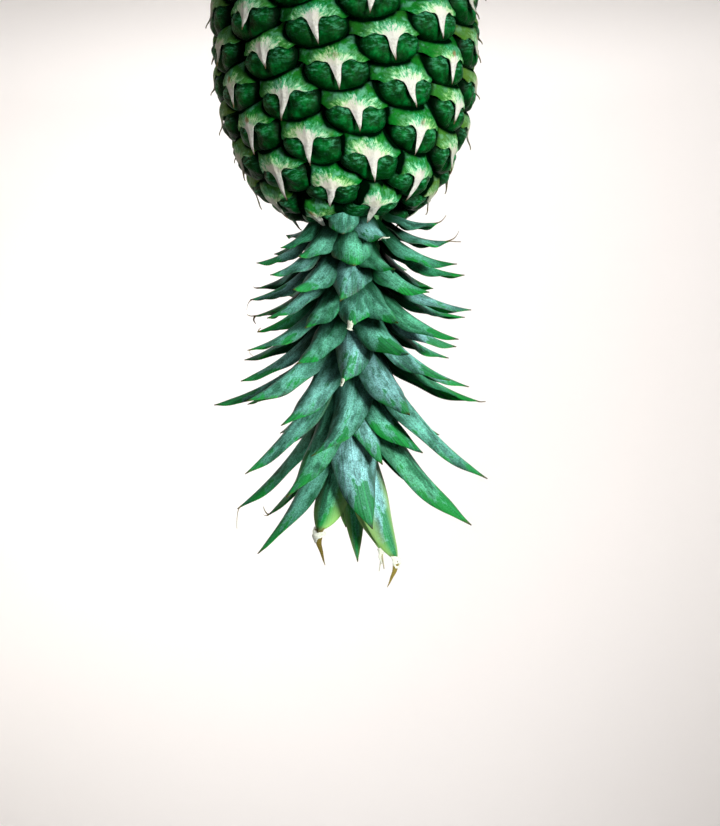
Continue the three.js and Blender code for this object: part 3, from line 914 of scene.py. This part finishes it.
    # yellow-green along the free edge of the wings
    out = addNode(tree, "Math", {0: split.outputs["X"]}, operation="ABSOLUTE")
    onWing = addNode(tree, "MapRange", {"Value": out} | rindLook["onWing"])
    fadeOut = addNode(tree, "MapRange", {"Value": out} | rindLook["fadeOut"])
    nearEdge = addNode(tree, "MapRange", {"Value": along} | rindLook["nearEdge"])
    wingShare = addNode(tree, "Math", {0: onWing, 1: fadeOut}, operation="MULTIPLY")
    limeShare = addNode(tree, "Math", {0: wingShare, 1: nearEdge}, operation="MULTIPLY")
    limeFibres = addNode(tree, "MapRange", {"Value": fibres} | rindLook["limeFibres"])
    limeMix = addNode(tree, "Math", {0: limeShare, 1: limeFibres}, operation="MULTIPLY")
    limed = addNode(
        tree, "Mix", {0: limeMix, 6: bloomed, 7: colour(rindLook["limed"])}, data_type="RGBA", out=2
    )
    # a brown fleck behind the middle of some eyes
    fleckPlace = addNode(
        tree, "VectorMath", {0: middled, 1: rindLook["fleckPlace"]}, operation="DISTANCE", out="Value"
    )
    fleckRagged = addNode(
        tree, "Math", {0: grain, 1: rindLook["fleckRagged"], 2: fleckPlace}, operation="MULTIPLY_ADD"
    )
    fleck = addNode(tree, "MapRange", {"Value": fleckRagged} | rindLook["fleck"])
    hasFleck = addNode(tree, "MapRange", {"Value": tone} | rindLook["hasFleck"])
    fleckShare = addNode(tree, "Math", {0: fleck, 1: hasFleck}, operation="MULTIPLY")
    flecked = addNode(
        tree, "Mix", {0: fleckShare, 6: limed, 7: colour(rindLook["flecked"])}, data_type="RGBA", out=2
    )
    # the spike stays white almost to its tip
    spikeWidth = addNode(tree, "MapRange", {"Value": out} | rindLook["spikeWidth"])
    spikeStart = addNode(tree, "MapRange", {"Value": split.outputs["Y"]} | rindLook["spikeStart"])
    spikeShare = addNode(tree, "Math", {0: spikeWidth, 1: spikeStart}, operation="MULTIPLY")
    spikeColour = addNode(tree, "ValToRGB", {0: grain}, stops=rindLook["spikeColour"])
    spiked = addNode(tree, "Mix", {0: spikeShare, 6: flecked, 7: spikeColour}, data_type="RGBA", out=2)
    tipStart = addNode(
        tree, "Math", {0: dry, 1: rindLook["tipStart"], 2: split.outputs["Y"]}, operation="MULTIPLY_ADD"
    )
    tipShare = addNode(tree, "MapRange", {"Value": tipStart} | rindLook["tipShare"])
    tipped = addNode(
        tree, "Mix", {0: tipShare, 6: spiked, 7: colour(rindLook["tipped"])}, data_type="RGBA", out=2
    )
    # eyes towards the sides, and some at random, are tinted olive
    oliveShare = addNode(tree, "Math", {0: dry, 1: rindLook["oliveShare"]}, operation="MULTIPLY")
    oliveTinted = addNode(
        tree, "Mix", {0: oliveShare, 6: tipped, 7: colour(rindLook["oliveTinted"])}, data_type="RGBA", out=2
    )
    isBract = addNode(tree, "Math", {0: part, 1: 0.5}, operation="GREATER_THAN")
    either = addNode(tree, "Mix", {0: isBract, 6: lobeShadeColour, 7: oliveTinted}, data_type="RGBA", out=2)
    # painted shade: the crevices between the eyes are darkened nearly to black
    allowed = addNode(
        tree, "Math", {0: isBract, 1: rindLook["allowed"], 2: depth}, operation="MULTIPLY_ADD"
    )
    sunk = addNode(tree, "MapRange", {"Value": allowed} | rindLook["sunk"])
    gap = addNode(tree, "Attribute", attribute_name="gap", out="Fac")
    raggedGap = addNode(
        tree, "Math", {0: blotch, 1: rindLook["raggedGap"], 2: gap}, operation="MULTIPLY_ADD"
    )
    openGap = addNode(tree, "MapRange", {"Value": raggedGap} | rindLook["openGap"])
    lit = addNode(tree, "Math", {0: sunk, 1: openGap}, operation="MULTIPLY")
    paintedCreviceShade = addNode(
        tree, "Mix", {0: lit, 6: colour(rindLook["paintedCreviceShade"]), 7: either}, data_type="RGBA", out=2
    )
    tree.links.new(paintedCreviceShade, surface.inputs["Base Color"])
    rough = addNode(tree, "MapRange", {"Value": part} | rindLook["rough"])
    tree.links.new(rough, surface.inputs["Roughness"])
    fineRelief = addNode(tree, "Math", {0: fibres, 1: grain}, operation="ADD")
    height = addNode(
        tree, "Math", {0: blotch, 1: rindLook["height"], 2: fineRelief}, operation="MULTIPLY_ADD"
    )
    bump = addNode(tree, "Bump", {"Height": height} | rindLook["bump"])
    tree.links.new(bump, surface.inputs["Normal"])
    surface.inputs["IOR"].default_value = rindLook["ior"]
    sheen = addNode(tree, "MapRange", {"Value": lit} | rindLook["sheen"])
    tree.links.new(sheen, surface.inputs["Specular IOR Level"])
    return material


leafLook = {
    "moved": (7.0, 5.0, 3.0),  # a shift from leaf to leaf
    "lines": (55.0, 1.5, 1.0),  # veins 0.5 mm apart
    "veins": {"Scale": 1.0, "Detail": 3.0, "Roughness": 0.55},
    "stretched": (5.0, 7.0, 1.0),  # patches about 6 by 17 mm
    "patches": {"Scale": 1.0, "Detail": 6.0, "Roughness": 0.66},
    "specks": {"Scale": 1500.0, "Detail": 3.0, "Roughness": 0.7},  # about 0.7 mm
    "green": [(0.32, "#011a08"), (0.5, "#013410"), (0.68, "#035620")],  # between the veins and on them
    # more is rubbed off towards the tip
    "tipwards": {"From Min": 0.35, "From Max": 1.0, "To Min": -0.1, "To Max": 0.22},
    "rubbed": {"From Min": 0.6, "From Max": 0.66},
    "rubbedGreen": [(0.35, "#015816"), (0.65, "#058224")],
    "streaky": {"From Min": 0.3, "From Max": 0.55, "To Min": 0.75, "To Max": 1.0},
    # dark specks in the bloom
    "speckled": {"From Min": 0.36, "From Max": 0.6, "To Min": 0.38, "To Max": 1.0},
    # thin and thick bloom
    "bloomPatches": {"From Min": 0.4, "From Max": 0.59, "To Min": 0.2, "To Max": 1.0},
    "outer": {"To Min": 0.1, "To Max": 1.0},  # inner face, then outer face
    "fromRoot": {"From Min": 0.12, "From Max": 0.5, "To Min": 0.05},  # as a share of the leaf
    "squared": 2.0,
    # thinner towards the edges
    "fromEdge": {"From Min": 0.1, "From Max": 1.0, "To Min": 1.0, "To Max": 0.3},
    "bloomColour": [  # by the leaf's tone
        (0.0, "#70dab0"), (0.35, "#86e4d2"), (0.65, "#a8eef8"), (1.0, "#56cc9a"),
    ],
    "rubbedShare": 0.85,  # how bare the rubbed patches are
    "edgeShare": {"From Min": 0.3, "From Max": 0.9},
    "limed": "#9ccb74",
    "dryStart": 0.1,
    "dryShare": {"From Min": 1.0, "From Max": 1.04},  # as a share of the leaf
    "tipped": "#3a3a1c",
    "mottled": 0.5,
    "shredColour": [(0.3, "#3b2c14"), (0.6, "#7d7434"), (0.9, "#c8d2c6"), (1.0, "#e2e6e0")],
    # painted shade at the roots, as a share of the leaf
    "paintedRootShade": {"From Min": 0.15, "From Max": 0.6, "To Min": 0.97, "To Max": 0.0},
    # the painted shade's colour at the roots
    "paintedRootShadeColour": "#011a08",
    "rough": {"From Min": 0.0, "From Max": 0.8, "To Min": 0.4, "To Max": 0.7},  # bare, then under bloom
    "bump": {"Strength": 0.45, "Distance": 0.0004},
    "ior": 1.45,
    "specular": 0.1,
}


# Pineapple leaf, grown: stiff, deep green under a pale bluish bloom that is rubbed off in patches,
# with dry brown tips
def leafMaterial():
    material, tree, surface = newMaterial("bloomedPineappleLeaf")
    where = addNode(tree, "TexCoord", out="Object")
    onLeaf = addNode(tree, "UVMap", uv_map="leaf")
    across = addNode(tree, "Attribute", attribute_name="across", out="Fac")
    along = addNode(tree, "Attribute", attribute_name="along", out="Fac")
    outside = addNode(tree, "Attribute", attribute_name="outside", out="Fac")
    lime = addNode(tree, "Attribute", attribute_name="lime", out="Fac")
    tone = addNode(tree, "Attribute", attribute_name="tone", out="Fac")
    shift = addNode(tree, "CombineXYZ", {"X": tone, "Y": tone, "Z": tone})
    moved = addNode(
        tree, "VectorMath", {0: shift, 1: leafLook["moved"], 2: onLeaf}, operation="MULTIPLY_ADD"
    )
    lines = addNode(tree, "VectorMath", {0: moved, 1: leafLook["lines"]}, operation="MULTIPLY")
    veins = addNode(tree, "TexNoise", {"Vector": lines} | leafLook["veins"], out="Fac")
    stretched = addNode(tree, "VectorMath", {0: moved, 1: leafLook["stretched"]}, operation="MULTIPLY")
    patches = addNode(tree, "TexNoise", {"Vector": stretched} | leafLook["patches"], out="Fac")
    specks = addNode(tree, "TexNoise", {"Vector": where} | leafLook["specks"], out="Fac")
    green = addNode(tree, "ValToRGB", {0: veins}, stops=leafLook["green"])
    # rubbed patches are a brighter green, more of them towards the tip
    tipwards = addNode(tree, "MapRange", {"Value": along} | leafLook["tipwards"])
    rubbedAt = addNode(tree, "Math", {0: patches, 1: tipwards}, operation="ADD")
    rubbed = addNode(tree, "MapRange", {"Value": rubbedAt} | leafLook["rubbed"])
    rubbedGreen = addNode(tree, "ValToRGB", {0: veins}, stops=leafLook["rubbedGreen"])
    # bloom lies on the outer face, in fine streaks with dark specks
    streaky = addNode(tree, "MapRange", {"Value": veins} | leafLook["streaky"])
    speckled = addNode(tree, "MapRange", {"Value": specks} | leafLook["speckled"])
    bloomPatches = addNode(tree, "MapRange", {"Value": patches} | leafLook["bloomPatches"])
    fine = addNode(tree, "Math", {0: streaky, 1: speckled}, operation="MULTIPLY")
    bloom = addNode(tree, "Math", {0: fine, 1: bloomPatches}, operation="MULTIPLY")
    outer = addNode(tree, "MapRange", {"Value": outside} | leafLook["outer"])
    fromRoot = addNode(tree, "MapRange", {"Value": along} | leafLook["fromRoot"])
    squared = addNode(tree, "Math", {0: across, 1: leafLook["squared"]}, operation="POWER")
    fromEdge = addNode(tree, "MapRange", {"Value": squared} | leafLook["fromEdge"])
    onFace = addNode(tree, "Math", {0: bloom, 1: outer}, operation="MULTIPLY")
    onMiddle = addNode(tree, "Math", {0: onFace, 1: fromEdge}, operation="MULTIPLY")
    bloomShare = addNode(tree, "Math", {0: onMiddle, 1: fromRoot}, operation="MULTIPLY")
    bloomColour = addNode(tree, "ValToRGB", {0: tone}, stops=leafLook["bloomColour"])
    bloomed = addNode(tree, "Mix", {0: bloomShare, 6: green, 7: bloomColour}, data_type="RGBA", out=2)
    rubbedShare = addNode(tree, "Math", {0: rubbed, 1: leafLook["rubbedShare"]}, operation="MULTIPLY")
    patched = addNode(tree, "Mix", {0: rubbedShare, 6: bloomed, 7: rubbedGreen}, data_type="RGBA", out=2)
    # some young leaves of the heart are lime towards their edges
    edge = addNode(tree, "Math", {0: across}, operation="ABSOLUTE")
    edgeShare = addNode(tree, "MapRange", {"Value": edge} | leafLook["edgeShare"])
    limeShare = addNode(tree, "Math", {0: edgeShare, 1: lime}, operation="MULTIPLY")
    limed = addNode(
        tree, "Mix", {0: limeShare, 6: patched, 7: colour(leafLook["limed"])}, data_type="RGBA", out=2
    )
    # dry, brown tips
    dryStart = addNode(
        tree, "Math", {0: patches, 1: leafLook["dryStart"], 2: along}, operation="MULTIPLY_ADD"
    )
    dryShare = addNode(tree, "MapRange", {"Value": dryStart} | leafLook["dryShare"])
    tipped = addNode(
        tree, "Mix", {0: dryShare, 6: limed, 7: colour(leafLook["tipped"])}, data_type="RGBA", out=2
    )
    # torn shreds are brown or papery white
    shred = addNode(tree, "Attribute", attribute_name="shred", out="Fac")
    isShred = addNode(tree, "Math", {0: shred, 1: 0.01}, operation="GREATER_THAN")
    mottled = addNode(
        tree, "Math", {0: specks, 1: leafLook["mottled"], 2: shred}, operation="MULTIPLY_ADD"
    )
    shredColour = addNode(tree, "ValToRGB", {0: mottled}, stops=leafLook["shredColour"])
    shredded = addNode(tree, "Mix", {0: isShred, 6: tipped, 7: shredColour}, data_type="RGBA", out=2)
    # painted shade: the roots, pressed against the next leaves, are darkened where those leaves shade them
    paintedRootShade = addNode(tree, "MapRange", {"Value": along} | leafLook["paintedRootShade"])
    paintedRootShadeColour = addNode(
        tree,
        "Mix",
        {0: paintedRootShade, 6: shredded, 7: colour(leafLook["paintedRootShadeColour"])},
        data_type="RGBA",
        out=2,
    )
    tree.links.new(paintedRootShadeColour, surface.inputs["Base Color"])
    rough = addNode(tree, "MapRange", {"Value": bloomShare} | leafLook["rough"])
    tree.links.new(rough, surface.inputs["Roughness"])
    bump = addNode(tree, "Bump", {"Height": veins} | leafLook["bump"])
    tree.links.new(bump, surface.inputs["Normal"])
    surface.inputs["IOR"].default_value = leafLook["ior"]
    surface.inputs["Specular IOR Level"].default_value = leafLook["specular"]
    return material


stalkLook = {
    "fibre": {"Scale": 900.0},  # fibre ends about 1 mm apart
    "stain": {"Scale": 180.0, "Detail": 5.0, "Roughness": 0.6},  # about 6 mm
    "ring": 0.006,  # m by which the stains move the rings
    "zones": 25.0,  # colours spread over 1/25 m, or 40 mm
    "tint": [  # from the middle outwards
        (0.0, "#c9ad74"), (0.33, "#b8965c"), (0.42, "#6b4a28"), (0.55, "#7d6a3c"),
        (0.75, "#4c5a2c"), (1.0, "#2f4a24"),
    ],
    "dark": {"From Min": 0.1, "From Max": 0.6, "To Min": 0.0, "To Max": 0.4},
    "fibrous": "#5a3f22",
    "roughness": 0.8,
    "bump": {"Strength": 0.6, "Distance": 0.0005},
}


# Cut stalk, dried: straw-coloured fibres in a woody ring
def stalkMaterial():
    material, tree, surface = newMaterial("driedCutStalk")
    where = addNode(tree, "TexCoord", out="Object")
    split = addNode(tree, "SeparateXYZ", {0: where}).node
    flat = addNode(tree, "CombineXYZ", {"X": split.outputs["X"], "Y": split.outputs["Y"]})
    out = addNode(tree, "VectorMath", {0: flat}, operation="LENGTH", out="Value")
    fibre = addNode(tree, "TexVoronoi", {"Vector": flat} | stalkLook["fibre"], out="Distance")
    stain = addNode(tree, "TexNoise", {"Vector": where} | stalkLook["stain"], out="Fac")
    ring = addNode(tree, "Math", {0: stain, 1: stalkLook["ring"], 2: out}, operation="MULTIPLY_ADD")
    zones = addNode(tree, "Math", {0: ring, 1: stalkLook["zones"]}, operation="MULTIPLY")
    tint = addNode(tree, "ValToRGB", {0: zones}, stops=stalkLook["tint"])
    dark = addNode(tree, "MapRange", {"Value": fibre} | stalkLook["dark"])
    fibrous = addNode(
        tree, "Mix", {0: dark, 6: tint, 7: colour(stalkLook["fibrous"])}, data_type="RGBA", out=2
    )
    tree.links.new(fibrous, surface.inputs["Base Color"])
    surface.inputs["Roughness"].default_value = stalkLook["roughness"]
    bump = addNode(tree, "Bump", {"Height": fibre} | stalkLook["bump"])
    tree.links.new(bump, surface.inputs["Normal"])
    return material


innerRindLook = {
    "mottle": {"Scale": 300.0, "Detail": 4.0},  # about 3 mm
    # near black: painted shade
    "tint": [(0.35, "#010401"), (0.65, "#031006")],
    "roughness": 0.8,
    "specular": 0.05,
}


# Inner rind between the eyes: matt, and painted near-black as the shade that always lies there
def coreMaterial():
    material, tree, surface = newMaterial("paintedShadeInnerRind")
    where = addNode(tree, "TexCoord", out="Object")
    mottle = addNode(tree, "TexNoise", {"Vector": where} | innerRindLook["mottle"], out="Fac")
    tint = addNode(tree, "ValToRGB", {0: mottle}, stops=innerRindLook["tint"])
    tree.links.new(tint, surface.inputs["Base Color"])
    surface.inputs["Roughness"].default_value = innerRindLook["roughness"]
    surface.inputs["Specular IOR Level"].default_value = innerRindLook["specular"]
    return material


stemLook = {
    "mottle": {"Scale": 200.0, "Detail": 4.0},  # about 5 mm
    "tint": [(0.35, "#1d5a30"), (0.65, "#5d9a5a")],
    "roughness": 0.6,
}


# Stem inside the crown: pale green, smooth
def stemMaterial():
    material, tree, surface = newMaterial("paleCrownStem")
    where = addNode(tree, "TexCoord", out="Object")
    mottle = addNode(tree, "TexNoise", {"Vector": where} | stemLook["mottle"], out="Fac")
    tint = addNode(tree, "ValToRGB", {0: mottle}, stops=stemLook["tint"])
    tree.links.new(tint, surface.inputs["Base Color"])
    surface.inputs["Roughness"].default_value = stemLook["roughness"]
    return material


paperLook = {
    "colour": "#f6f4f2",
    "roughness": 1.0,
    "specular": 0.1,
}


# Backdrop: matt studio paper, pale and plain
def paperMaterial():
    material, _, surface = newMaterial("mattStudioPaper")
    surface.inputs["Base Color"].default_value = colour(paperLook["colour"])
    surface.inputs["Roughness"].default_value = paperLook["roughness"]
    surface.inputs["Specular IOR Level"].default_value = paperLook["specular"]
    return material


makeRind(rindMaterial())
makeTurned("innerRind", coreProfile(), coreMaterial(), "fruit")
makeTurned("cutBase", turnedParts["base"], stalkMaterial(), "fruit")
makeLeaves(leafMaterial())
makeTurned("crownStem", turnedParts["stem"], stemMaterial(), "crown")
print("object done")

# Studio: a round paper sweep, whose floor curves up into a wall on every side, in metres
studio = {
    "floorRadius": 0.85,
    "sweep": 0.45,  # radius of the curve from floor to wall
    "wallTop": 1.7,
    "sides": 96,
    "floorInset": 0.3,
    "rings": 16,  # in the curve
}


def makeSweep():
    deselectAll()
    bpy.ops.mesh.primitive_circle_add(
        vertices=studio["sides"], radius=studio["floorRadius"], fill_type="NGON"
    )
    paper = bpy.context.object
    bpy.ops.object.mode_set(mode="EDIT")
    bpy.ops.mesh.select_all(action="SELECT")
    bpy.ops.mesh.inset(thickness=studio["floorInset"])
    bpy.ops.object.mode_set(mode="OBJECT")
    for vertex in paper.data.vertices:
        vertex.select = abs(vertex.co.xy.length - studio["floorRadius"]) < 1e-4
    for edge in paper.data.edges:
        edge.select = all(paper.data.vertices[v].select for v in edge.vertices)
    for face in paper.data.polygons:
        face.select = False
    bpy.ops.object.mode_set(mode="EDIT")
    radius, height = studio["floorRadius"], 0
    for ring in range(1, studio["rings"] + 1):
        angle = ring / studio["rings"] * math.pi / 2
        nextRadius = studio["floorRadius"] + studio["sweep"] * math.sin(angle)
        nextHeight = studio["sweep"] * (1 - math.cos(angle))
        bpy.ops.mesh.extrude_region_move(TRANSFORM_OT_translate={"value": (0, 0, nextHeight - height)})
        bpy.ops.transform.resize(value=(nextRadius / radius, nextRadius / radius, 1))
        radius, height = nextRadius, nextHeight
    bpy.ops.mesh.extrude_region_move(TRANSFORM_OT_translate={"value": (0, 0, studio["wallTop"] - height)})
    bpy.ops.object.mode_set(mode="OBJECT")
    paper.name = "paperSweep"
    paper.data.materials.append(paperMaterial())
    shadeSmooth(paper, 60)


# Lights: soft boxes, with place, aim, size, spread in degrees, power in watts and colour
lamps = {
    "key": dict(place=(-0.5, -0.67, 0.0), aim=(0, 0, 0.19),
        size=0.3, spread=50, power=2.5, tint="#fffaf4"),
    "front": dict(place=(0.3, -0.75, 0.5), aim=(0, 0, 0.2),
        size=0.6, spread=60, power=0.13, tint="#ffffff"),
    "left": dict(place=(0.6, 0.3, 0.2), aim=(0, 0, 0.2),
        size=0.3, spread=60, power=0.06, tint="#ffc9a0"),
    "wallLow": dict(place=(0, 0.3, 0.75), aim=(0, 1.2, 0),
        size=0.5, spread=135, power=4.2, tint="#fffcfb"),
    "wallHigh": dict(place=(0, 0.3, 1.5), aim=(0, 1.3, 0.95),
        size=0.5, spread=135, power=4.4, tint="#fffcfb"),
}
air = {"tint": "#f6efe9", "strength": 0.06}  # a little light from all around


def makeLamps():
    for name, facts in lamps.items():
        light = bpy.data.lights.new(name, "AREA")
        light.shape = "DISK"
        light.size = facts["size"]
        light.energy = facts["power"]
        light.spread = math.radians(facts["spread"])
        light.color = colour(facts["tint"])[:3]
        lamp = bpy.data.objects.new(name, light)
        lamp.location = facts["place"]
        towards = Vector(facts["aim"]) - Vector(facts["place"])
        lamp.rotation_euler = towards.to_track_quat("-Z", "Y").to_euler()
        lamp.visible_camera = False
        bpy.context.collection.objects.link(lamp)
    world = bpy.data.worlds.new("studioAir")
    bpy.context.scene.world = world
    world.use_nodes = True
    background = world.node_tree.nodes["Background"]
    background.inputs["Color"].default_value = colour(air["tint"])
    background.inputs["Strength"].default_value = air["strength"]


# Camera: it looks slightly up at the crown and is turned over, so that the crown hangs down in the picture
shot = {
    "tilt": 0.1288,  # radians
    "roll": 0.0161,
    "distance": 490,  # this and the next two in millimetres, from the fruit's middle
    "across": -6.795,
    "along": -175.2,
    "focalPixels": 1078,
    "longSide": 826,
    "sensor": 36,
}


def makeCamera():
    c, s = math.cos(shot["roll"]), math.sin(shot["roll"])
    cb, sb = math.cos(shot["tilt"]), math.sin(shot["tilt"])
    # rows of the turn from (right, towards the crown, away) on the object to the same in the picture
    right = Vector((c, s, 0))
    down = Vector((-s * cb, c * cb, -sb))
    away = Vector((-s * sb, c * sb, cb))
    eyePoint = -(right * shot["across"] + down * shot["along"] + away * shot["distance"])

    def world(v):
        return Vector((-v.x, v.z, v.y))

    centre = (world(eyePoint) + Vector((0, 0, body["middleHeight"]))) * mm
    turn = Matrix((world(right), -world(down), -world(away))).transposed()
    data = bpy.data.cameras.new("shot")
    data.sensor_width = shot["sensor"]
    data.lens = shot["sensor"] * shot["focalPixels"] / shot["longSide"]
    data.clip_start = 0.01
    data.clip_end = 10
    camera = bpy.data.objects.new("shot", data)
    camera.matrix_world = Matrix.Translation(centre) @ turn.to_4x4()
    bpy.context.collection.objects.link(camera)
    bpy.context.scene.camera = camera
    bpy.context.scene.view_settings.view_transform = "Standard"
    print("camera at", [round(v, 4) for v in centre])


makeSweep()
makeLamps()
makeCamera()
print("studio done")
